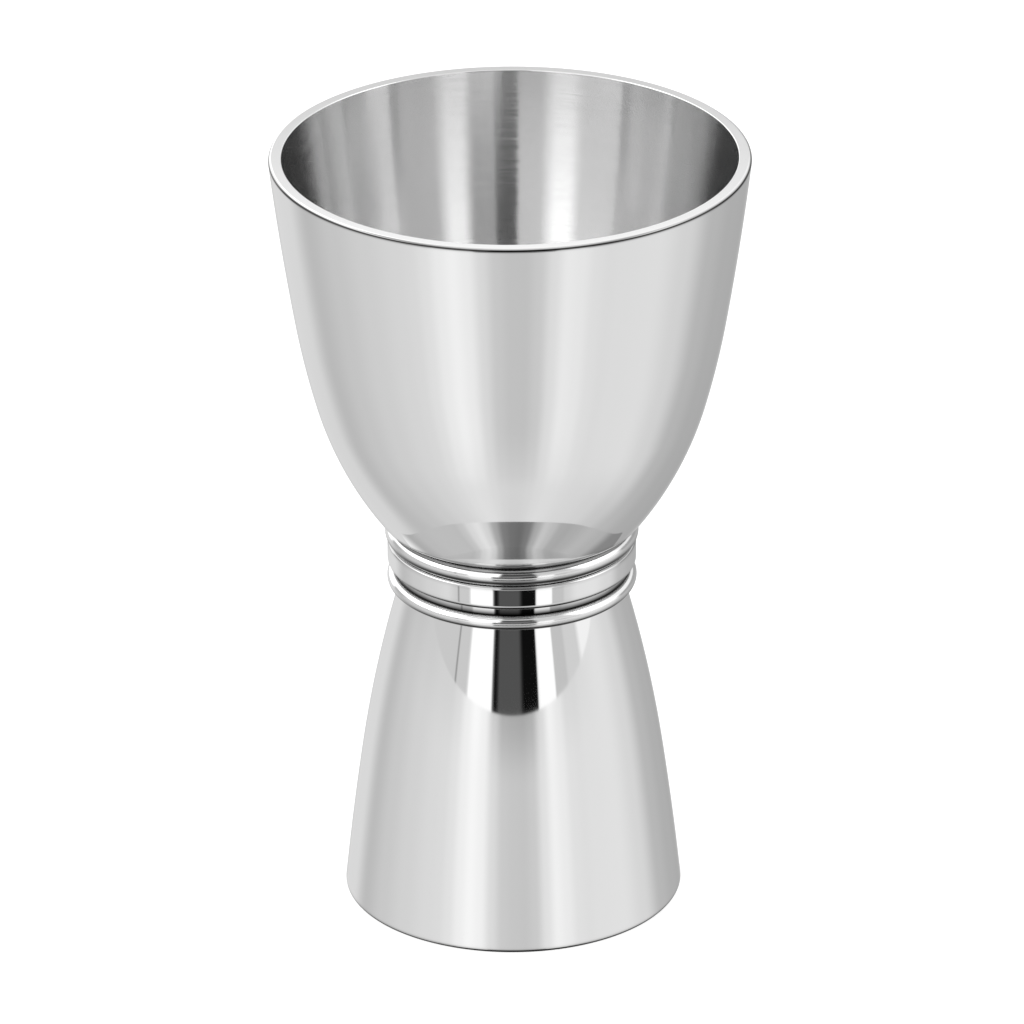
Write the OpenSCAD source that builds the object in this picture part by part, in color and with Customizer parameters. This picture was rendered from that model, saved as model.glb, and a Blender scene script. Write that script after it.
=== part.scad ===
// Double jigger: a 50 ml cup and a 25 ml cup joined foot to foot, with a banded waist over the joint.
// Millimetres, +Z up. The small cup's lip stands on z = 0 and the axis is the Z axis.
// Each wall is a chain of tangent arcs, with the inside parallel to the outside.

/* [Whole object] */
// Height from the table to the upper lip
total_h = 85; // [80:0.5:90]
// Thickness of both cups
wall = 1.4; // [1:0.1:1.6]
// Round on the outer edge of each lip
lip_round = 0.35; // [0.1:0.05:0.5]
// Round on the inner edge of each lip
lip_inner_round = 0.1; // [0.05:0.05:0.3]

/* [Large cup] */
// Outside diameter of the upper lip
large_lip_d = 51; // [48:0.5:54]
// Lean of the wall at the upper lip, in degrees from upright
large_lip_lean = 6.5; // [5.5:0.1:7.5]
// Lean where the long arc below the lip runs into the shoulder
large_wall_lean = 9.6; // [9.2:0.1:10.6]
// Radius of the shoulder between the wall and the bowl
large_shoulder_r = 93; // [75:1:115]
// Lean where the shoulder runs into the bowl
large_bowl_lean = 15.5; // [13:0.5:18]
// Height of the bowl, from the foot to the shoulder
large_bowl_h = 14.3; // [12:0.1:17]
// Outside radius of the corner round the foot
large_corner_r = 2.2; // [1.8:0.1:2.6]
// How far the flat of the foot stops inside the upper bead's seat
large_foot_inset = 0.2; // [0.1:0.05:0.5]

/* [Small cup] */
// Outside diameter of the lip on the table
small_lip_d = 36.5; // [34:0.5:39]
// Lean of the wall at the lower lip, in degrees from upright
small_lip_lean = 5.8; // [5.2:0.1:6.4]
// Radius of the long arc above the lower lip
small_wall_r = 374; // [320:1:430]
// Lean where that arc runs into the upper arc
small_wall_lean = 8.3; // [7.6:0.1:9]
// Radius of the flat end inside the waist
small_end_r = 8; // [7.6:0.1:8.6]
// Outside radius of the corner round the flat end
small_corner_r = 2.5; // [1.9:0.1:3]

/* [Waist] */
// Height of the waist's lower edge above the table
waist_z = 35.8; // [33:0.1:38]
// Width of the lower half-round bead
lower_bead_w = 1.6; // [1.2:0.05:2]
// Height of the open groove between the lower bead and the band
groove_h = 0.85; // [0.5:0.05:1.3]
// Height of the plain band
band_h = 2.7; // [2:0.1:3.6]
// How far the plain band stands out from the seats
band_step = 0.75; // [0.4:0.05:1]
// Round on the lower edge of the plain band
band_lower_round = 0.6; // [0.2:0.05:0.7]
// Round on the upper edge of the plain band
band_upper_round = 0.3; // [0.1:0.05:0.6]
// Width of the upper half-round bead
upper_bead_w = 2; // [1.4:0.05:2.4]
// Gap between the upper bead and the foot of the large cup
bead_gap = 0.05; // [0.02:0.01:0.2]
// Thickness of the band under the lower bead, at its lower edge
seat_wall = 0.58; // [0.45:0.01:0.9]
// How far the bore lies inside the small cup's radius at the lower edge
bore_step = 0.5; // [0.3:0.05:0.8]

/* [Joint] */
// Thickness of the filler between the two cups
braze_t = 0.15; // [0.05:0.05:0.3]
// Gap for filler between the small cup and the band's tapered bore
braze_gap = 0.05; // [0.02:0.01:0.1]

/* [Hidden] */

turn_fn = 180;
// How far the short chords of an outline may stray from its true arcs
sag = 0.003;

// Heights up the waist
lower_bead_z = waist_z + lower_bead_w / 2;
band_z0 = waist_z + lower_bead_w + groove_h;
band_z1 = band_z0 + band_h;
upper_bead_z = band_z1 + upper_bead_w / 2;
foot_z = band_z1 + upper_bead_w + bead_gap;

// Both cups are drawn lip down on y = 0 and closed at the top, as [arcs, end radius, height, corner]
small_arcs = [[small_wall_r, small_wall_lean]];
small_bell = bell(small_lip_d / 2, small_lip_lean, small_arcs, small_end_r, foot_z - braze_t, small_corner_r);

// Radii of the waist, from the small cup's wall at the waist's lower edge
neck_r = radius_at(small_bell[0][len(small_arcs)], waist_z);
seat_r = neck_r + seat_wall;
band_r = seat_r + band_step;
bore_r = neck_r - bore_step;

// The long arc of the large cup takes up the height that the bowl and the shoulder leave
large_shoulder_h = large_shoulder_r * (sin(large_bowl_lean) - sin(large_wall_lean));
large_wall_h = total_h - foot_z - large_bowl_h - large_shoulder_h;
large_wall_r = large_wall_h / (sin(large_wall_lean) - sin(large_lip_lean));
large_arcs = [[large_wall_r, large_wall_lean], [large_shoulder_r, large_bowl_lean]];
large_foot_r = seat_r - large_foot_inset;
large_bell = bell(large_lip_d / 2, large_lip_lean, large_arcs, large_foot_r, total_h - foot_z, large_corner_r);

// Unit vector out of a wall that leans in by the angle a
function out(a) = [cos(a), sin(a)];

// One arc as [centre, radius, start point, start lean, end point, end lean]
function arc(p, a, r, b) = [p - r * out(a), r, p, a, p + r * (out(b) - out(a)), b];

// Radius of the arc that leaves the point p at lean a and runs into the corner round the flat end
function closing_r(a, d, c) =
    (d.x * d.x + d.y * d.y - c * c) / (2 * (d.x * cos(a) - d.y * sin(a) - c));

function closing_lean(a, d, r) = atan2(d.y + r * sin(a), r * cos(a) - d.x);

// Chain of tangent arcs from the lip to the corner round the flat end
function chain(p, a, arcs, end_r, h, c, i = 0) =
    i < len(arcs)
        ? let (s = arc(p, a, arcs[i][0], arcs[i][1])) concat([s], chain(s[4], s[5], arcs, end_r, h, c, i + 1))
        : let (d = [p.x - end_r, h - p.y - c], r = closing_r(a, d, c)) [arc(p, a, r, closing_lean(a, d, r))];

function bell(lip_r, lean, arcs, end_r, h, c) = [chain([lip_r, 0], lean, arcs, end_r, h, c), end_r, h, c];

// Radius of an arc of the chain at the height y
function radius_at(s, y) = s[0].x + sqrt(s[1] * s[1] - pow(y - s[0].y, 2));

// Points along an arc from lean a to lean b round the centre c
function sweep(c, r, a, b) =
    let (n = max(2, ceil(abs(b - a) / (2 * acos(1 - sag / r)))))
    [for (i = [0:n]) c + r * out(a + (b - a) * i / n)];

// Outline of a bell from the lip to its flat end, drawn in by the inset; from is the lean where it starts
function outline(b, inset, from) =
    let (last = b[0][len(b[0]) - 1])
    concat(
        [for (s = b[0]) each tail(sweep(s[0], s[1] - inset, max(s[3], from), s[5]))],
        tail(sweep([b[1], b[2] - b[3]], b[3] - inset, last[5], 90))
    );

function tail(v) = [for (i = [1:len(v) - 1]) v[i]];

function reverse(v) = [for (i = [len(v) - 1:-1:0]) v[i]];

// Centre of the round of radius e at the lip; side is 1 at the outer edge and -1 at the inner edge
function lip_centre(s, inset, e, side) =
    [s[0].x + sqrt(pow(s[1] - inset - side * e, 2) - pow(e - s[0].y, 2)), e];

// Lean of the wall where that round runs into it
function lip_lean(s, c) = atan2(c.y - s[0].y, c.x - s[0].x);

module bell_profile(b) {
    s = b[0][0];
    c_out = lip_centre(s, 0, lip_round, 1);
    c_in = lip_centre(s, wall, lip_inner_round, -1);
    a_out = lip_lean(s, c_out);
    a_in = lip_lean(s, c_in);
    polygon(concat(
        sweep(c_out, lip_round, -90, a_out),
        outline(b, 0, a_out),
        [[0, b[2]], [0, b[2] - wall]],
        reverse(outline(b, wall, a_in)),
        sweep(c_in, lip_inner_round, 180 + a_in, 270)
    ));
}

// Everything inside the outside of a bell, grown by the gap
module bell_fill(b, gap) {
    polygon(concat(
        [[0, 0], b[0][0][2] + gap * out(b[0][0][3])],
        outline(b, -gap, b[0][0][3]),
        [[0, b[2] + gap]]
    ));
}

module half_round(z, w) {
    intersection() {
        translate([seat_r, z]) circle(d = w, $fn = 180);
        translate([seat_r, z - w]) square([w, 2 * w]);
    }
}

module band_profile() {
    lo = band_lower_round;
    up = band_upper_round;
    difference() {
        union() {
            translate([bore_r, waist_z]) square([seat_r - bore_r, foot_z - waist_z]);
            polygon([
                [bore_r, band_z0], [band_r - lo, band_z0], [band_r, band_z0 + lo],
                [band_r, band_z1 - up], [band_r - up, band_z1], [bore_r, band_z1]
            ]);
            translate([band_r - lo, band_z0 + lo]) circle(r = lo, $fn = 96);
            translate([band_r - up, band_z1 - up]) circle(r = up, $fn = 96);
        }
        bell_fill(small_bell, braze_gap);
    }
}

module large_cup() {
    color([0.80, 0.80, 0.81])
        translate([0, 0, total_h])
            mirror([0, 0, 1])
                rotate_extrude($fn = turn_fn) bell_profile(large_bell);
}

module small_cup() {
    color([0.78, 0.78, 0.79])
        rotate_extrude($fn = turn_fn) bell_profile(small_bell);
}

module waist_band() {
    color([0.72, 0.72, 0.73])
        rotate_extrude($fn = turn_fn) band_profile();
}

module upper_bead() {
    color([0.86, 0.86, 0.87])
        rotate_extrude($fn = turn_fn) half_round(upper_bead_z, upper_bead_w);
}

module lower_bead() {
    color([0.86, 0.86, 0.87])
        rotate_extrude($fn = turn_fn) half_round(lower_bead_z, lower_bead_w);
}

module braze_disc() {
    color([0.70, 0.68, 0.62])
        translate([0, 0, foot_z - braze_t]) cylinder(r = small_end_r, h = braze_t, $fn = turn_fn);
}

large_cup();
small_cup();
waist_band();
upper_bead();
lower_bead();
braze_disc();
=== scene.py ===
import math

import bpy
import numpy as np
from mathutils import Matrix, Vector


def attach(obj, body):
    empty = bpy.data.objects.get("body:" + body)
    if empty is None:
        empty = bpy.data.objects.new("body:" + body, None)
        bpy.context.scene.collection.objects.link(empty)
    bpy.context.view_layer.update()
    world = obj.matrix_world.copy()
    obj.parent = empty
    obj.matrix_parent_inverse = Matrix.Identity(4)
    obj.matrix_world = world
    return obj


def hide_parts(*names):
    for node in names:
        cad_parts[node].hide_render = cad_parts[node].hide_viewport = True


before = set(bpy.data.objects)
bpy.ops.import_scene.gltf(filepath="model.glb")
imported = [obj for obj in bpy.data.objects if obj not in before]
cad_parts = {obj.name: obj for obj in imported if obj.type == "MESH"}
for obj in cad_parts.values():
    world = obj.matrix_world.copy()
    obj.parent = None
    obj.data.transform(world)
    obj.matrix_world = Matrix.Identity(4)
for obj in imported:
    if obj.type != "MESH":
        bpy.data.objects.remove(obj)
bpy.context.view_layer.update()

scene = bpy.context.scene
scene.view_settings.view_transform = "Standard"
mm = 0.001
print("frame loaded:", ", ".join(sorted(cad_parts)))


def toLinear(hexColour):
    # sRGB hex to linear light, with the alpha that sockets want
    c = np.array([int(hexColour[k:k + 2], 16) for k in (1, 3, 5)]) / 255
    c = np.where(c <= 0.04045, c / 12.92, ((c + 0.055) / 1.055) ** 2.4)
    return (*c.tolist(), 1.0)


def addNode(tree, kind, links=(), inputs=(), **settings):
    # one node with its settings, its input values and the links into it
    node = tree.nodes.new(kind)
    for name, value in settings.items():
        setattr(node, name, value)
    for socket, value in dict(inputs).items():
        node.inputs[socket].default_value = value
    for socket, source in dict(links).items():
        tree.links.new(source, node.inputs[socket])
    return node


def newMaterial(name):
    material = bpy.data.materials.new(name)
    material.use_nodes = True
    material.node_tree.nodes.clear()
    return material, material.node_tree


# shares are the smoothest and the roughest patch, as parts of the roughness
steelFinish = {
    "outside": "#f1f1f1", "outsideRoughness": 0.035, "hazeMm": 9.0, "hazeShares": (0.6, 1.4),
    # the near-black colour on the next line is painted shade, laid into creases and seams
    "rippleMm": 6.0, "rippleDepthMm": 0.002, "paintedDark": "#1d1c1b",
    "inside": "#e3e3e3", "insideDull": "#dcdcdc", "insideRoughness": 0.085, "insideStretch": 0.9,
    "insideMetal": 0.97,                           # fine grooves scatter a little light, so its darks aren't black
    "brushMm": 0.16, "brushDepthMm": 0.01, "brushStrength": 0.11, "brushShares": (0.6, 1.6),
    "streakMm": 7.0, "streakTilt": 0.03,
}
trimFinish = {"colour": "#f3f3f3", "roughness": 0.03, "hazeMm": 4.0, "beadRoughness": 0.12, "beadStretch": 0.85}
fillerFinish = {
    "colour": "#dfd6bd", "roughness": 0.42, "grainMm": 0.6, "grainDepthMm": 0.05, "grainStrength": 0.6,
    "grainShares": (0.7, 1.3),
}
noiseSpan = {"From Min": 0.3, "From Max": 0.7}     # nearly all of a noise lies in here
quarterTurn = 0.25                                 # turns the stretch of a highlight across the brushing


def buffedSteel(name, colour, roughness, hazeMm, stretch=0.0):
    # Stainless steel, spun and then buffed to a mirror: sharp reflections with a breath of haze in patches,
    # a trace of ripple left by the buffing wheel that lets straight reflections waver,
    # and painted shade: a near-black mixed into the colour along creases, seams and bead undersides.
    # With a stretch it is buffed round the axis, which draws highlights out up and down.
    material, tree = newMaterial(name)
    place = addNode(tree, "ShaderNodeTexCoord")
    smoothest, roughest = steelFinish["hazeShares"]
    haze = addNode(tree, "ShaderNodeTexNoise", {"Vector": place.outputs["Object"]},
                   {"Scale": 1 / (hazeMm * mm), "Detail": 3.0})
    rough = addNode(tree, "ShaderNodeMapRange", {"Value": haze.outputs["Fac"]},
                    {**noiseSpan, "To Min": roughness * smoothest, "To Max": roughness * roughest})
    ripple = addNode(tree, "ShaderNodeTexNoise", {"Vector": place.outputs["Object"]},
                     {"Scale": 1 / (steelFinish["rippleMm"] * mm), "Detail": 1.0})
    bump = addNode(tree, "ShaderNodeBump", {"Height": ripple.outputs["Fac"]},
                   {"Strength": 1.0, "Distance": steelFinish["rippleDepthMm"] * mm})
    # painted shade: the steel's colour goes towards near-black where the mesh carries painted shade
    paintedShade = addNode(tree, "ShaderNodeAttribute", attribute_name="paintedShade")
    tone = addNode(tree, "ShaderNodeMix", {"Factor": paintedShade.outputs["Fac"]},
                   {6: toLinear(colour), 7: toLinear(steelFinish["paintedDark"])}, data_type="RGBA")
    roundAxis = addNode(tree, "ShaderNodeTangent", direction_type="RADIAL", axis="Z")
    shader = addNode(tree, "ShaderNodeBsdfPrincipled",
                     {"Base Color": tone.outputs[2], "Roughness": rough.outputs["Result"],
                      "Normal": bump.outputs["Normal"], "Tangent": roundAxis.outputs["Tangent"]},
                     {"Metallic": 1.0, "Anisotropic": stretch, "Anisotropic Rotation": quarterTurn})
    addNode(tree, "ShaderNodeOutputMaterial", {"Surface": shader.outputs["BSDF"]})
    return material


def turnBrushedSteel(name):
    # Stainless steel brushed while the cup turned: fine streaks round the wall, each a little duller or brighter
    # than the next, that drag highlights out up and down and leave their edges ragged.
    # Real streaks are near 0.05 mm wide and would not show, so they are drawn a few times coarser.
    material, tree = newMaterial(name)
    place = addNode(tree, "ShaderNodeTexCoord")
    along = addNode(tree, "ShaderNodeAttribute", attribute_name="meridian")
    rows = addNode(tree, "ShaderNodeMath", {0: along.outputs["Fac"]}, {1: 1 / steelFinish["brushMm"]},
                   operation="MULTIPLY")
    column = addNode(tree, "ShaderNodeCombineXYZ", {"Z": rows.outputs[0]})
    perStreak = 1 / (steelFinish["streakMm"] * mm)
    stretched = addNode(tree, "ShaderNodeVectorMath", {0: place.outputs["Object"], 2: column.outputs[0]},
                        {1: (perStreak, perStreak, 0)}, operation="MULTIPLY_ADD")
    streaks = addNode(tree, "ShaderNodeTexNoise", {"Vector": stretched.outputs[0]},
                      {"Scale": 1.0, "Detail": 3.0, "Roughness": 0.6})
    smoothest, roughest = (share * steelFinish["insideRoughness"] for share in steelFinish["brushShares"])
    rough = addNode(tree, "ShaderNodeMapRange", {"Value": streaks.outputs["Fac"]},
                    {**noiseSpan, "To Min": smoothest, "To Max": roughest})
    grey = addNode(tree, "ShaderNodeMapRange", {"Value": streaks.outputs["Fac"]}, noiseSpan)
    tone = addNode(tree, "ShaderNodeMix", {"Factor": grey.outputs["Result"]},
                   {6: toLinear(steelFinish["inside"]), 7: toLinear(steelFinish["insideDull"])}, data_type="RGBA")
    # each streak is also turned a little to one side, so that upright edges in it look combed
    roundAxis = addNode(tree, "ShaderNodeTangent", direction_type="RADIAL", axis="Z")
    lean = steelFinish["streakTilt"]
    leaning = addNode(tree, "ShaderNodeMath", {0: streaks.outputs["Fac"]}, {1: lean, 2: -lean / 2},
                      operation="MULTIPLY_ADD")
    aside = addNode(tree, "ShaderNodeVectorMath", {0: roundAxis.outputs["Tangent"], "Scale": leaning.outputs[0]},
                    operation="SCALE")
    surface = addNode(tree, "ShaderNodeNewGeometry")
    turned = addNode(tree, "ShaderNodeVectorMath", {0: surface.outputs["Normal"], 1: aside.outputs[0]},
                     operation="ADD")
    facing = addNode(tree, "ShaderNodeVectorMath", {0: turned.outputs[0]}, operation="NORMALIZE")
    bump = addNode(tree, "ShaderNodeBump", {"Height": streaks.outputs["Fac"], "Normal": facing.outputs[0]},
                   {"Strength": steelFinish["brushStrength"], "Distance": steelFinish["brushDepthMm"] * mm})
    shader = addNode(tree, "ShaderNodeBsdfPrincipled",
                     {"Base Color": tone.outputs[2], "Roughness": rough.outputs["Result"],
                      "Normal": bump.outputs["Normal"], "Tangent": roundAxis.outputs["Tangent"]},
                     {"Metallic": steelFinish["insideMetal"], "Anisotropic": steelFinish["insideStretch"],
                      "Anisotropic Rotation": quarterTurn})
    addNode(tree, "ShaderNodeOutputMaterial", {"Surface": shader.outputs["BSDF"]})
    return material


def flowedFiller(name):
    # Silver solder as it flowed and set: pale yellowish metal, satin, with a fine pebbled skin
    material, tree = newMaterial(name)
    place = addNode(tree, "ShaderNodeTexCoord")
    grain = addNode(tree, "ShaderNodeTexNoise", {"Vector": place.outputs["Object"]},
                    {"Scale": 1 / (fillerFinish["grainMm"] * mm), "Detail": 3.0})
    smoothest, roughest = (share * fillerFinish["roughness"] for share in fillerFinish["grainShares"])
    rough = addNode(tree, "ShaderNodeMapRange", {"Value": grain.outputs["Fac"]},
                    {"To Min": smoothest, "To Max": roughest})
    bump = addNode(tree, "ShaderNodeBump", {"Height": grain.outputs["Fac"]},
                   {"Strength": fillerFinish["grainStrength"], "Distance": fillerFinish["grainDepthMm"] * mm})
    shader = addNode(tree, "ShaderNodeBsdfPrincipled",
                     {"Roughness": rough.outputs["Result"], "Normal": bump.outputs["Normal"]},
                     {"Base Color": toLinear(fillerFinish["colour"]), "Metallic": 1.0})
    addNode(tree, "ShaderNodeOutputMaterial", {"Surface": shader.outputs["BSDF"]})
    return material


mirrorSteel = buffedSteel("stainless_steel_mirror_buffed", steelFinish["outside"], steelFinish["outsideRoughness"],
                          steelFinish["hazeMm"])
satinSteel = turnBrushedSteel("stainless_steel_turn_brushed")
trimSteel = buffedSteel("stainless_trim_mirror_buffed", trimFinish["colour"], trimFinish["roughness"],
                        trimFinish["hazeMm"])
beadSteel = buffedSteel("stainless_bead_rolled_and_buffed", trimFinish["colour"], trimFinish["beadRoughness"],
                        trimFinish["hazeMm"], trimFinish["beadStretch"])
filler = flowedFiller("silver_solder_as_flowed")
print("materials made")


# how finely the outlines are drawn: steps in millimetres, and points in a run
fineness = {
    "wall": 0.55, "corner": 0.12, "cornerBelow": 5.0, "lipInner": 0.02, "lipOuter": 0.03, "bead": 0.05,
    "bandLower": 0.04, "bandUpper": 0.03, "fewestSteps": 6, "straightPoints": 7, "borePoints": 25,
}


def outward(lean):
    # unit vector out of a wall that leans in by the angle
    return np.stack([np.cos(lean), np.sin(lean)], -1)


def sweepArc(centre, radius, fromLean, toLean, stepMm, side):
    # a run of the outline: points on an arc, their normals, and which side of the wall it is.
    # The points crowd towards both ends, where creases lie: share = (1 - cos(pi k / n)) / 2.
    n = max(fineness["fewestSteps"], math.ceil(abs(radius * (toLean - fromLean)) / stepMm))
    lean = fromLean + (toLean - fromLean) * (1 - np.cos(np.pi * np.arange(n + 1) / n)) / 2
    facing = -1.0 if side == "inside" else 1.0
    return {"points": np.asarray(centre) + radius * outward(lean), "normals": facing * outward(lean), "side": side}


def straightRun(start, end, normal, side):
    # a straight run of the outline with one normal
    n = fineness["straightPoints"]
    return {"points": np.linspace(start, end, n), "normals": np.tile(np.asarray(normal, float), (n, 1)), "side": side}


def backwards(run):
    return {"points": run["points"][::-1], "normals": run["normals"][::-1], "side": run["side"]}


def turnOnAxis(name, runs, stepsRound, materials, paintedShadeLines):
    # Surface of revolution: point (s, t) = (r(s) cos t, r(s) sin t, z(s)), where r and z follow the runs in turn.
    # Each strip takes the normals of its own run, so tangent runs flow together and a true corner stays sharp.
    points = np.concatenate([run["points"][:-1] for run in runs] + [runs[-1]["points"][-1:]])
    startNormals = np.concatenate([run["normals"][:-1] for run in runs])
    endNormals = np.concatenate([run["normals"][1:] for run in runs])
    inside = np.concatenate([np.full(len(run["points"]) - 1, run["side"] == "inside") for run in runs])
    along = np.concatenate([[0], np.cumsum(np.linalg.norm(np.diff(points, axis=0), axis=1))])
    closed = np.allclose(points[0], points[-1], atol=1e-6)
    offAxis = slice(0, -1) if closed else slice(1, -1)      # a closed ring has no poles on the axis
    rings, along = points[offAxis], along[offAxis]

    turn = np.arange(stepsRound) * 2 * np.pi / stepsRound
    cosTurn, sinTurn = np.cos(turn), np.sin(turn)
    grid = np.empty((len(rings), stepsRound, 3))
    grid[..., 0] = rings[:, :1] * cosTurn
    grid[..., 1] = rings[:, :1] * sinTurn
    grid[..., 2] = rings[:, 1:]
    verts = grid.reshape(-1, 3)
    meridian = np.repeat(along, stepsRound)
    # how much painted shade a point takes: most at each line's centre, falling off as a bell curve of its reach
    paintedDark = np.zeros(len(rings))
    for r, z, reach, amount in paintedShadeLines:
        apart = (rings[:, 0] - r) ** 2 + (rings[:, 1] - z) ** 2
        paintedDark = np.maximum(paintedDark, amount * np.exp(-apart / reach ** 2))
    paintedDark = np.repeat(paintedDark, stepsRound)

    step = np.arange(stepsRound)
    nextStep = (step + 1) % stepsRound
    strips = np.arange(len(startNormals)) if closed else np.arange(1, len(startNormals) - 1)
    lowRing = strips if closed else strips - 1
    highRing = (lowRing + 1) % len(rings)
    low, high = lowRing[:, None] * stepsRound, highRing[:, None] * stepsRound
    quads = np.stack([low + step, low + nextStep, high + nextStep, high + step], -1).reshape(-1, 4)

    def spun(flat, at):
        # profile normals (r, z) turned to the angle of each corner
        return np.stack([flat[:, None, 0] * cosTurn[at], flat[:, None, 0] * sinTurn[at],
                         np.repeat(flat[:, 1:], stepsRound, 1)], -1)

    start, end = startNormals[strips], endNormals[strips]
    quadNormals = np.stack([spun(start, step), spun(start, nextStep), spun(end, nextStep), spun(end, step)], 2)
    loopVerts, loopNormals = [quads.ravel()], [quadNormals.reshape(-1, 3)]
    corners = [np.full(len(quads), 4)]
    faceInside = [np.repeat(inside[strips], stepsRound)]
    if not closed:
        # fans of triangles close the two poles on the axis
        firstPole, lastPole = len(verts), len(verts) + 1
        verts = np.concatenate([verts, [[0, 0, points[0, 1]], [0, 0, points[-1, 1]]]])
        meridian = np.concatenate([meridian, [along[0], along[-1]]])
        paintedDark = np.concatenate([paintedDark, [0, 0]])
        lastRing = (len(rings) - 1) * stepsRound
        firstFan = np.stack([np.full(stepsRound, firstPole), nextStep, step], -1)
        lastFan = np.stack([np.full(stepsRound, lastPole), lastRing + step, lastRing + nextStep], -1)
        loopVerts += [firstFan.ravel(), lastFan.ravel()]
        poleNormals = ([0, 0, startNormals[0, 1]], [0, 0, endNormals[-1, 1]])
        loopNormals += [np.tile(normal, (3 * stepsRound, 1)) for normal in poleNormals]
        corners += [np.full(2 * stepsRound, 3)]
        faceInside += [np.full(stepsRound, inside[0]), np.full(stepsRound, inside[-1])]

    loopVerts, corners = np.concatenate(loopVerts), np.concatenate(corners)
    mesh = bpy.data.meshes.new(name)
    mesh.vertices.add(len(verts))
    mesh.loops.add(len(loopVerts))
    mesh.polygons.add(len(corners))
    mesh.vertices.foreach_set("co", (verts * mm).astype(np.float32).ravel())
    mesh.loops.foreach_set("vertex_index", loopVerts.astype(np.int32))
    mesh.polygons.foreach_set("loop_start", np.concatenate([[0], np.cumsum(corners)[:-1]]).astype(np.int32))
    mesh.polygons.foreach_set("loop_total", corners.astype(np.int32))
    mesh.polygons.foreach_set("material_index", np.concatenate(faceInside).astype(np.int32))
    mesh.polygons.foreach_set("use_smooth", np.ones(len(corners), bool))
    mesh.update(calc_edges=True)
    # the second attribute carries the painted shade into the steel's material
    for attribute, values in (("meridian", meridian), ("paintedShade", paintedDark)):
        mesh.attributes.new(attribute, "FLOAT", "POINT").data.foreach_set("value", values.astype(np.float32))
    mesh.normals_split_custom_set(np.concatenate(loopNormals).tolist())
    for material in materials:
        mesh.materials.append(material)
    obj = bpy.data.objects.new(name, mesh)
    scene.collection.objects.link(obj)
    print(f"{name}: {len(verts)} points, {int((corners - 2).sum())} triangles")
    return obj


wholeMm = {"height": 85.0, "wall": 1.4, "lipRound": 0.35, "lipInnerRound": 0.1}
waistMm = {
    "lowerEdge": 35.8, "lowerBead": 1.6, "groove": 0.85, "band": 2.7, "upperBead": 2.0, "beadGap": 0.05,
    "bandStep": 0.75, "bandLowerRound": 0.6, "bandUpperRound": 0.3, "seatWall": 0.58, "boreStep": 0.5,
    "boreGap": 0.05, "solder": 0.15, "stepsRound": 240,
}
largeCup = {
    "lip": 51.0, "lipLean": 6.5, "wallLean": 9.6, "shoulderRadius": 93.0, "bowlLean": 15.5,
    "bowlHeight": 14.3, "corner": 2.2, "footInset": 0.2, "stepsRound": 288,
}
smallCup = {
    "lip": 36.5, "lipLean": 5.8, "wallRadius": 374.0, "wallLean": 8.3, "end": 8.0, "corner": 2.5,
    "stepsRound": 256,
}

lowerEdge = waistMm["lowerEdge"]
grooveFoot = lowerEdge + waistMm["lowerBead"]
bandFoot = grooveFoot + waistMm["groove"]
bandTop = bandFoot + waistMm["band"]
cupFoot = bandTop + waistMm["upperBead"] + waistMm["beadGap"]


def tangentArcs(lipRadius, lipLean, arcs, endRadius, height, corner):
    # A bell, lip down: each arc starts where the last one ended, with the same lean, so they are tangent.
    # The last arc is solved to run into the corner: its radius R makes the distance of the two centres R - c.
    point, lean, chain = np.array([lipRadius, 0.0]), math.radians(lipLean), []
    for radius, endLean in arcs:
        centre = point - radius * outward(lean)
        chain.append((centre, radius, lean, math.radians(endLean)))
        lean = math.radians(endLean)
        point = centre + radius * outward(lean)
    dx, dy = point[0] - endRadius, height - point[1] - corner
    radius = (dx * dx + dy * dy - corner ** 2) / (2 * (dx * math.cos(lean) - dy * math.sin(lean) - corner))
    endLean = math.atan2(dy + radius * math.sin(lean), radius * math.cos(lean) - dx)
    chain.append((point - radius * outward(lean), radius, lean, endLean))
    chain.append((np.array([endRadius, height - corner]), corner, endLean, math.pi / 2))
    return chain


def cupRuns(chain, endRadius, height):
    # From the middle of the inside, down the inside to the lip, round the lip, and up the outside to the middle.
    # The inside is the outside drawn in by the wall; each lip round is a small circle tangent to wall and table.
    wall, outRound, inRound = wholeMm["wall"], wholeMm["lipRound"], wholeMm["lipInnerRound"]
    (cx, cy), radius = chain[0][0], chain[0][1]
    outCentre = np.array([cx + math.sqrt((radius - outRound) ** 2 - (outRound - cy) ** 2), outRound])
    inCentre = np.array([cx + math.sqrt((radius - wall + inRound) ** 2 - (inRound - cy) ** 2), inRound])
    outLean = math.atan2(outCentre[1] - cy, outCentre[0] - cx)
    inLean = math.atan2(inCentre[1] - cy, inCentre[0] - cx)
    downInside, upOutside = [], []
    for k, (centre, r, lean, endLean) in enumerate(chain):
        stepMm = fineness["corner"] if r < fineness["cornerBelow"] else fineness["wall"]
        inArc = sweepArc(centre, r - wall, inLean if k == 0 else lean, endLean, stepMm, "inside")
        downInside.insert(0, backwards(inArc))
        upOutside.append(sweepArc(centre, r, outLean if k == 0 else lean, endLean, stepMm, "outside"))
    bottom = straightRun((0, height - wall), (endRadius, height - wall), (0, -1), "inside")
    lipIn = sweepArc(inCentre, inRound, math.pi + inLean, 1.5 * math.pi, fineness["lipInner"], "outside")
    lipOut = sweepArc(outCentre, outRound, -0.5 * math.pi, outLean, fineness["lipOuter"], "outside")
    lipFlat = straightRun(lipIn["points"][-1], lipOut["points"][0], (0, -1), "outside")
    endFlat = straightRun((endRadius, height), (0, height), (0, 1), "outside")
    return [bottom, *downInside, lipIn, lipFlat, lipOut, *upOutside, endFlat]


def turnedOver(runs, height):
    # the same outline stood on its closed end: z = height - z, walked backwards so that faces still point out
    return [backwards({"points": run["points"] * (1, -1) + (0, height), "normals": run["normals"] * (1, -1),
                       "side": run["side"]}) for run in reversed(runs)]


def standFor(obj, node):
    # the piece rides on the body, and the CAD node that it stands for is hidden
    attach(obj, "root")
    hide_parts(node)


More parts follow.
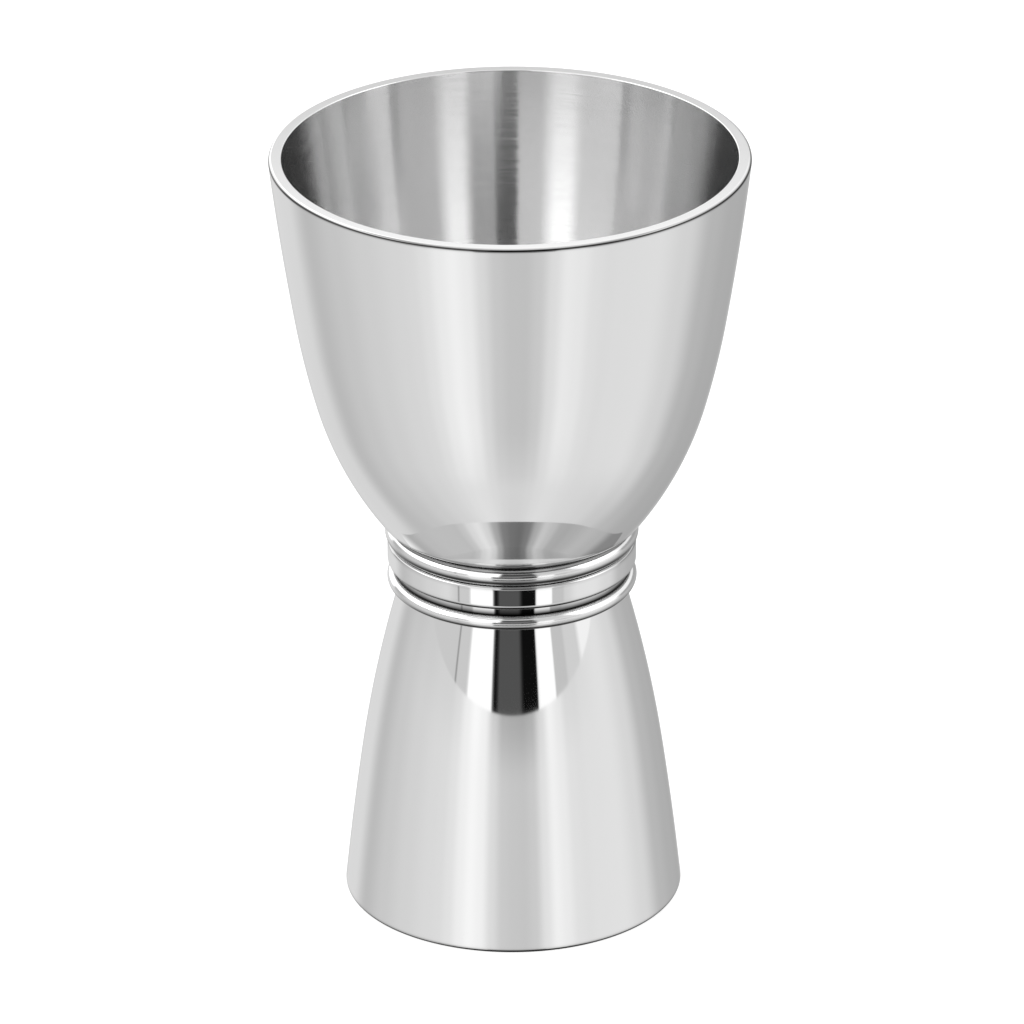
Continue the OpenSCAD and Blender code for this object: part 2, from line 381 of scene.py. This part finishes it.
smallHeight = cupFoot - waistMm["solder"]
smallArcs = [(smallCup["wallRadius"], smallCup["wallLean"])]
smallChain = tangentArcs(smallCup["lip"] / 2, smallCup["lipLean"], smallArcs, smallCup["end"], smallHeight,
                         smallCup["corner"])

# radii of the waist, from the small cup's wall at the waist's lower edge
(upperX, upperZ), upperRadius = smallChain[1][0], smallChain[1][1]
neck = upperX + math.sqrt(upperRadius ** 2 - (lowerEdge - upperZ) ** 2)
seat = neck + waistMm["seatWall"]
bandRadius = seat + waistMm["bandStep"]
bore = neck - waistMm["boreStep"]

# painted shade laid into creases and seams, as (radius, height, reach, amount); an amount over 1 makes a line with a
# flat top
paintedShadeLines = [
    (seat + 1.15, cupFoot + 0.47, 0.6, 1.0),                            # on the large cup, over the upper bead
    (seat + 0.2, cupFoot - 0.07, 0.4, 0.6),                             # on that bead's top
    (seat + 0.92, bandTop + 0.61, 0.36, 1.0),                           # and on its underside
    (bandRadius - 0.09, bandTop - 0.09, 0.2, 0.4),                      # on the band's upper edge
    (bandRadius - 0.1, bandFoot + 0.25, 0.2, 1.3),                      # and on its lower edge
    (seat, grooveFoot + 0.18, 0.25, 1.5),                               # in the groove
    (seat + 0.6, lowerEdge + 0.27, 0.38, 1.25),                         # on the lower bead's underside
    (smallCup["lip"] / 2 - 0.1, 0.12, 0.22, 1.4),                       # round the lower lip
    (largeCup["lip"] / 2 - 0.1, wholeMm["height"] - 0.2, 0.15, 1.05),   # round the upper lip
]

smallPiece = turnOnAxis("small_cup_spun", cupRuns(smallChain, smallCup["end"], smallHeight),
                        smallCup["stepsRound"], [mirrorSteel, satinSteel], paintedShadeLines)
standFor(smallPiece, "small_cup")

# the long arc of the large cup takes up the height that the bowl and the shoulder leave
largeHeight = wholeMm["height"] - cupFoot
lipSine, wallSine, bowlSine = (math.sin(math.radians(largeCup[k])) for k in ("lipLean", "wallLean", "bowlLean"))
wallHeight = largeHeight - largeCup["bowlHeight"] - largeCup["shoulderRadius"] * (bowlSine - wallSine)
largeArcs = [(wallHeight / (wallSine - lipSine), largeCup["wallLean"]),
             (largeCup["shoulderRadius"], largeCup["bowlLean"])]
footRadius = seat - largeCup["footInset"]
largeChain = tangentArcs(largeCup["lip"] / 2, largeCup["lipLean"], largeArcs, footRadius, largeHeight,
                         largeCup["corner"])
largeRuns = turnedOver(cupRuns(largeChain, footRadius, largeHeight), wholeMm["height"])
largePiece = turnOnAxis("large_cup_spun", largeRuns, largeCup["stepsRound"], [mirrorSteel, satinSteel], paintedShadeLines)
standFor(largePiece, "large_cup")
print("cups made")


def beadRuns(footZ, width):
    # half round: a half circle standing on the seat, closed by a straight back
    middle = (seat, footZ + width / 2)
    halfCircle = sweepArc(middle, width / 2, -math.pi / 2, math.pi / 2, fineness["bead"], "outside")
    return [halfCircle, straightRun((seat, footZ + width), (seat, footZ), (-1, 0), "outside")]


def boreRun(fromZ, toZ):
    # the band's tapered bore: the small cup's outside, grown by the gap for solder
    z = np.linspace(fromZ, toZ, fineness["borePoints"])
    r = upperX + np.sqrt((upperRadius + waistMm["boreGap"]) ** 2 - (z - upperZ) ** 2)
    slope = np.arctan2(z - upperZ, r - upperX)
    return {"points": np.stack([r, z], -1), "normals": -outward(slope), "side": "outside"}


lowRound, topRound = waistMm["bandLowerRound"], waistMm["bandUpperRound"]
lowRoundAt = (bandRadius - lowRound, bandFoot + lowRound)
topRoundAt = (bandRadius - topRound, bandTop - topRound)
boreTop = upperZ + math.sqrt((upperRadius + waistMm["boreGap"]) ** 2 - (bore - upperX) ** 2)
taper = boreRun(boreTop, lowerEdge)
bandRuns = [
    straightRun(taper["points"][-1], (seat, lowerEdge), (0, -1), "outside"),
    straightRun((seat, lowerEdge), (seat, bandFoot), (1, 0), "outside"),
    straightRun((seat, bandFoot), (bandRadius - lowRound, bandFoot), (0, -1), "outside"),
    sweepArc(lowRoundAt, lowRound, -math.pi / 2, 0, fineness["bandLower"], "outside"),
    straightRun((bandRadius, bandFoot + lowRound), (bandRadius, bandTop - topRound), (1, 0), "outside"),
    sweepArc(topRoundAt, topRound, 0, math.pi / 2, fineness["bandUpper"], "outside"),
    straightRun((bandRadius - topRound, bandTop), (seat, bandTop), (0, 1), "outside"),
    straightRun((seat, bandTop), (seat, cupFoot), (1, 0), "outside"),
    straightRun((seat, cupFoot), (bore, cupFoot), (0, 1), "outside"),
    straightRun((bore, cupFoot), (bore, boreTop), (-1, 0), "outside"),
    taper,
]
bandPiece = turnOnAxis("waist_band_turned", bandRuns, waistMm["stepsRound"], [trimSteel], paintedShadeLines)
standFor(bandPiece, "waist_band")
upperPiece = turnOnAxis("upper_bead_half_round", beadRuns(bandTop, waistMm["upperBead"]),
                        waistMm["stepsRound"], [beadSteel], paintedShadeLines)
standFor(upperPiece, "upper_bead")
lowerPiece = turnOnAxis("lower_bead_half_round", beadRuns(lowerEdge, waistMm["lowerBead"]),
                        waistMm["stepsRound"], [beadSteel], paintedShadeLines)
standFor(lowerPiece, "lower_bead")

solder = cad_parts["braze_disc"]              # its shape is right, so it only gets its finish
solder.data.materials.clear()
solder.data.materials.append(filler)
print("waist made")


# The studio: a white floor, and what the polished metal sees round it. Azimuths and elevations are in degrees from
# the object, with azimuth 0 towards the camera and positive to its right; levels are linear light.
studio = {
    # cards and flags that stand round the table, as (from, to, level): the low row
    "lowCards": [
        (-180, -135, 1.6), (-129, -116, 0.5), (-108, -52, 0.65), (-51.6, -50.4, 0.3), (-50, -39.5, 0.65),
        (-39, -17.3, 1.15), (-16.8, -13, 0.01), (-12, 6, 0.09), (9, 21.8, 0.005), (22.6, 37, 1.15),
        (37.6, 48, 0.6), (50, 62, 0.7), (66, 106, 1.0), (114, 180, 0.4),
    ],
    # and the high row over it, which is hung further apart and stands out more towards its top
    "highCards": [
        (-170, -112, 1.4), (-94, -70, 2.2), (-48, -13, 1.25), (-10, 21, 0.24), (25, 58, 0.8), (74, 96, 1.85),
        (118, 170, 1.0),
    ],
    "topContrast": 1.6, "topDarkest": 0.07,
    # The glossy floor shows the low row as soft images. From its far edge inwards: over how many degrees they are
    # blurred, the floor's own level, and how strong they are.
    "edgeFloor": (8, 0.42, 0.62), "farFloor": (9, 0.6, 0.44), "nearFloor": (11, 0.56, 0.44),
    "underFloor": (16, 0.7, 0.18),
    # how much darker it gets away from the side that it is lit from, and the azimuth of that side
    "floorWash": (0.22, 0),
    # elevations over which one thing gives way to the next
    "nearAt": (-20.0, -36.0), "underAt": (-46.0, -62.0), "highAt": (12.0, 16.0), "topAt": (20.0, 33.0),
    "ceilingAt": (48.0, 58.0), "lampAt": (62.0, 72.0), "ceiling": 0.65, "lamp": 0.95,
    # the wall behind, which the flat of the upper lip shows: darker below, lighter above
    "wallFoot": 0.69, "wallTop": 1.12, "wallAt": (21.6, 23.4), "wallSide": (170.0, 174.0),
    # strips of the table in front that mirror the low row sharply: elevations, how they fade, and how far round
    "stripsAt": (-29.0, -20.0), "stripFade": 2.0, "stripReach": (50.0, 64.0),
    "tableEdge": -1.2, "edgeDepth": 7.0, "edgeBlur": 0.15,
}
# the azimuths at which the soft images are worked out: closer in front, where the camera sees them
imageStops = {"fineStep": 0.5, "front": 60, "frontStep": 7.5, "backStep": 20}


def cardEdges(cards):
    return [stop for start, end, level in cards for stop in ((start, level), (end, level))]


cardStops = {name: cardEdges(studio[name]) for name in ("lowCards", "highCards")}
cardStops["topCards"] = [(turn, max(studio["topDarkest"], 1 + studio["topContrast"] * (level - 1)))
                         for turn, level in cardStops["highCards"]]


def softImage(blur, own, strength, fall, litFrom):
    # level = (own + strength * the low cards averaged under a bell curve of azimuth)
    #         * (1 - fall + fall * cos(azimuth - the side it is lit from))
    front, backStep = imageStops["front"], imageStops["backStep"]
    cardAt, cardLevel = np.array(cardStops["lowCards"]).T
    allRound = np.arange(-180, 180, imageStops["fineStep"])
    stopsAt = np.concatenate([np.arange(-180, -front, backStep),
                              np.arange(-front, front + 1, imageStops["frontStep"]),
                              np.arange(front + backStep, 181, backStep)])
    apart = (stopsAt[:, None] - allRound + 180) % 360 - 180
    weight = np.exp(-(apart / blur) ** 2)
    image = weight @ np.interp(allRound, cardAt, cardLevel) / weight.sum(1)
    wash = 1 - fall * (1 - np.cos(np.radians(stopsAt - litFrom)))
    return list(zip(stopsAt.tolist(), ((own + strength * image) * wash).tolist()))


def fillRamp(ramp, stops):
    # stops as (azimuth, level), put at (azimuth + 180) / 360 on the ramp
    elements = ramp.color_ramp.elements
    while len(elements) < len(stops):
        elements.new(0.5)
    for element, (turn, level) in zip(elements, stops):
        element.position = (turn + 180) / 360
        element.color = (level, level, level, 1.0)


def azimuthOf(tree, direction):
    # degrees round the axis, the same as a share of the full turn for a ramp, and the direction's height
    axes = addNode(tree, "ShaderNodeSeparateXYZ", {0: direction})
    front = addNode(tree, "ShaderNodeMath", {0: axes.outputs["Y"]}, {1: -1.0}, operation="MULTIPLY")
    angle = addNode(tree, "ShaderNodeMath", {0: axes.outputs["X"], 1: front.outputs[0]}, operation="ARCTAN2")
    degrees = addNode(tree, "ShaderNodeMath", {0: angle.outputs[0]}, operation="DEGREES")
    share = addNode(tree, "ShaderNodeMapRange", {"Value": degrees.outputs[0]},
                    {"From Min": -180.0, "From Max": 180.0})
    return degrees.outputs[0], share.outputs["Result"], axes.outputs["Z"]


world = bpy.data.worlds.new("studio")
scene.world = world
world.use_nodes = True
sky = world.node_tree
sky.nodes.clear()
toward = addNode(sky, "ShaderNodeTexCoord")
azimuth, turnShare, upward = azimuthOf(sky, toward.outputs["Generated"])
rise = addNode(sky, "ShaderNodeMath", {0: upward}, operation="ARCSINE")
elevation = addNode(sky, "ShaderNodeMath", {0: rise.outputs[0]}, operation="DEGREES").outputs[0]
fromFront = addNode(sky, "ShaderNodeMath", {0: azimuth}, operation="ABSOLUTE").outputs[0]


def layOver(base, top, span, angle=elevation):
    # the top tone takes over from the base while the angle crosses the span; a tone is a socket or a plain level
    share = addNode(sky, "ShaderNodeMapRange", {"Value": angle}, {"From Min": span[0], "From Max": span[1]},
                    interpolation_type="SMOOTHSTEP")
    tones = {"A": base, "B": top}
    plain = {socket: tone for socket, tone in tones.items() if isinstance(tone, float)}
    linked = {socket: tone for socket, tone in tones.items() if socket not in plain}
    mix = addNode(sky, "ShaderNodeMix", {"Factor": share.outputs["Result"], **linked}, plain, data_type="FLOAT")
    return mix.outputs["Result"]


ramps = {}
for name in ("lowCards", "highCards", "topCards", "edgeFloor", "farFloor", "nearFloor", "underFloor"):
    ramp = addNode(sky, "ShaderNodeValToRGB", {"Fac": turnShare})
    if name.endswith("Floor"):
        ramp.color_ramp.interpolation = "EASE"
        fillRamp(ramp, softImage(*studio[name], *studio["floorWash"]))
    else:
        fillRamp(ramp, cardStops[name])
    ramps[name] = ramp.outputs["Color"]

edge, edgeBlur = studio["tableEdge"], studio["edgeBlur"]
floorTone = layOver(ramps["farFloor"], ramps["nearFloor"], studio["nearAt"])
floorTone = layOver(floorTone, ramps["underFloor"], studio["underAt"])
floorTone = layOver(floorTone, ramps["edgeFloor"], (edge - studio["edgeDepth"], edge))
stripFoot, stripTop = studio["stripsAt"]
strips = layOver(floorTone, ramps["lowCards"], (stripFoot - studio["stripFade"], stripFoot))
strips = layOver(strips, floorTone, (stripTop, stripTop + studio["stripFade"]))
floorTone = layOver(strips, floorTone, studio["stripReach"], fromFront)

cards = layOver(ramps["lowCards"], ramps["highCards"], studio["highAt"])
cards = layOver(cards, ramps["topCards"], studio["topAt"])
backWall = layOver(studio["wallFoot"], studio["wallTop"], studio["wallAt"])
cards = layOver(cards, backWall, studio["wallSide"], fromFront)
cards = layOver(cards, studio["ceiling"], studio["ceilingAt"])
cards = layOver(cards, studio["lamp"], studio["lampAt"])
seen = layOver(floorTone, cards, (edge - edgeBlur, edge + edgeBlur))
studioLight = addNode(sky, "ShaderNodeBackground", {"Color": seen}, {"Strength": 1.0})
whiteBack = addNode(sky, "ShaderNodeBackground", inputs={"Color": (1, 1, 1, 1), "Strength": 1.0})
skyPath = addNode(sky, "ShaderNodeLightPath")
shown = addNode(sky, "ShaderNodeMixShader",
                {0: skyPath.outputs["Is Camera Ray"], 1: studioLight.outputs[0], 2: whiteBack.outputs[0]})
addNode(sky, "ShaderNodeOutputWorld", {"Surface": shown.outputs[0]})

floorLook = {"sizeM": 6.0, "diffuse": "#9c9c9c", "glow": 0.86}
reach = floorLook["sizeM"] / 2
floorMesh = bpy.data.meshes.new("studio_floor")
floorMesh.from_pydata([(-reach, -reach, 0), (reach, -reach, 0), (reach, reach, 0), (-reach, reach, 0)], [],
                      [(0, 1, 2, 3)])
floor = bpy.data.objects.new("studio_floor", floorMesh)
scene.collection.objects.link(floor)
floor.visible_glossy = False                       # the metal sees the floor as the lower half of the studio
# a white acrylic sheet that keeps the object's shadow and is lifted to white for the camera only
whiteTable, floorTree = newMaterial("white_acrylic_sheet")
lit = addNode(floorTree, "ShaderNodeBsdfDiffuse", inputs={"Color": toLinear(floorLook["diffuse"])})
lift = addNode(floorTree, "ShaderNodeEmission", inputs={"Color": (1, 1, 1, 1), "Strength": floorLook["glow"]})
both = addNode(floorTree, "ShaderNodeAddShader", {0: lit.outputs[0], 1: lift.outputs[0]})
floorPath = addNode(floorTree, "ShaderNodeLightPath")
table = addNode(floorTree, "ShaderNodeMixShader",
                {0: floorPath.outputs["Is Camera Ray"], 1: lit.outputs[0], 2: both.outputs[0]})
addNode(floorTree, "ShaderNodeOutputMaterial", {"Surface": table.outputs[0]})
floorMesh.materials.append(whiteTable)

# The shade that the bowl throws on the table, as painted shade: a glowing sheet toned with soft painted reflections
# of the low cards, which only the metal sees; at a low angle the table's gloss hides it.
# A flat sheet: point (r, t) = (r sin t, -r cos t), from the foot of the small cup out to a half circle in front
# and to straight sides behind it, where r = side / |sin t|, cut off at the back.
footShade = {
    "inner": 17.95, "outer": 32.3, "side": 34.2, "back": 45.0, "leastSine": 0.1,
    "behindFrom": 0.5, "behindRate": 2.0,          # the sides take over while from - rate * cos t goes from 0 to 1
    "lift": 0.004, "stepsRound": 192, "glossAt": (0.38, 0.5), "image": (9, 0.15, 0.66), "wash": (0.2, -60),
}
sheetTurn = np.arange(footShade["stepsRound"]) * 2 * np.pi / footShade["stepsRound"]
sideReach = footShade["side"] / np.maximum(np.abs(np.sin(sheetTurn)), footShade["leastSine"])
behind = np.clip(footShade["behindFrom"] - footShade["behindRate"] * np.cos(sheetTurn), 0, 1)
outer = footShade["outer"] * (1 - behind) + np.minimum(sideReach, footShade["back"]) * behind
inner = np.full_like(sheetTurn, footShade["inner"])
sheet = np.concatenate([
    np.stack([r * np.sin(sheetTurn), -r * np.cos(sheetTurn), np.full_like(sheetTurn, footShade["lift"])], -1)
    for r in (inner, outer)]) * mm
inRing = np.arange(len(sheetTurn))
nextInRing = (inRing + 1) % len(sheetTurn)
outRing, nextOutRing = inRing + len(sheetTurn), nextInRing + len(sheetTurn)
shadeMesh = bpy.data.meshes.new("foot_shade")
shadeMesh.from_pydata(sheet.tolist(), [], np.stack([inRing, outRing, nextOutRing, nextInRing], -1).tolist())
shade = bpy.data.objects.new("foot_shade", shadeMesh)
scene.collection.objects.link(shade)
shade.visible_camera = shade.visible_diffuse = shade.visible_shadow = shade.visible_transmission = False
shadeLook, shadeTree = newMaterial("shade_on_white_acrylic")
onSheet = addNode(shadeTree, "ShaderNodeTexCoord")
shadeTones = addNode(shadeTree, "ShaderNodeValToRGB", {"Fac": azimuthOf(shadeTree, onSheet.outputs["Object"])[1]})
shadeTones.color_ramp.interpolation = "EASE"
fillRamp(shadeTones, softImage(*footShade["image"], *footShade["wash"]))
shaded = addNode(shadeTree, "ShaderNodeEmission", {"Color": shadeTones.outputs["Color"]}, {"Strength": 1.0})
clear = addNode(shadeTree, "ShaderNodeBsdfTransparent")
slant = addNode(shadeTree, "ShaderNodeLayerWeight")
glossFrom, glossTo = footShade["glossAt"]
gloss = addNode(shadeTree, "ShaderNodeMapRange", {"Value": slant.outputs["Facing"]},
                {"From Min": glossFrom, "From Max": glossTo})
cover = addNode(shadeTree, "ShaderNodeMixShader",
                {0: gloss.outputs["Result"], 1: shaded.outputs[0], 2: clear.outputs[0]})
addNode(shadeTree, "ShaderNodeOutputMaterial", {"Surface": cover.outputs[0]})
shadeMesh.materials.append(shadeLook)
print("studio made")


view = {
    "elevation": 24.674, "distance": 974.0, "focalPx": 9090.0, "framePx": 1024, "roll": 0.27,
    "aimPx": (511.75, 522.5), "aimHeight": 42.5, "sensorMm": 36.0, "clipM": (0.05, 20.0),
}
lens = bpy.data.cameras.new("camera")
lens.sensor_width = view["sensorMm"]
lens.lens = view["sensorMm"] * view["focalPx"] / view["framePx"]
lens.shift_x = (view["framePx"] / 2 - view["aimPx"][0]) / view["framePx"]
lens.shift_y = (view["aimPx"][1] - view["framePx"] / 2) / view["framePx"]
lens.clip_start, lens.clip_end = view["clipM"]
camera = bpy.data.objects.new("camera", lens)
scene.collection.objects.link(camera)
cameraTilt = math.radians(view["elevation"])
aim = Vector((0, 0, view["aimHeight"] * mm))
stand = aim + Vector((0, -math.cos(cameraTilt), math.sin(cameraTilt))) * view["distance"] * mm
camera.matrix_world = (Matrix.Translation(stand) @ Matrix.Rotation(math.pi / 2 - cameraTilt, 4, "X")
                       @ Matrix.Rotation(-math.radians(view["roll"]), 4, "Z"))
scene.camera = camera
print("camera placed")
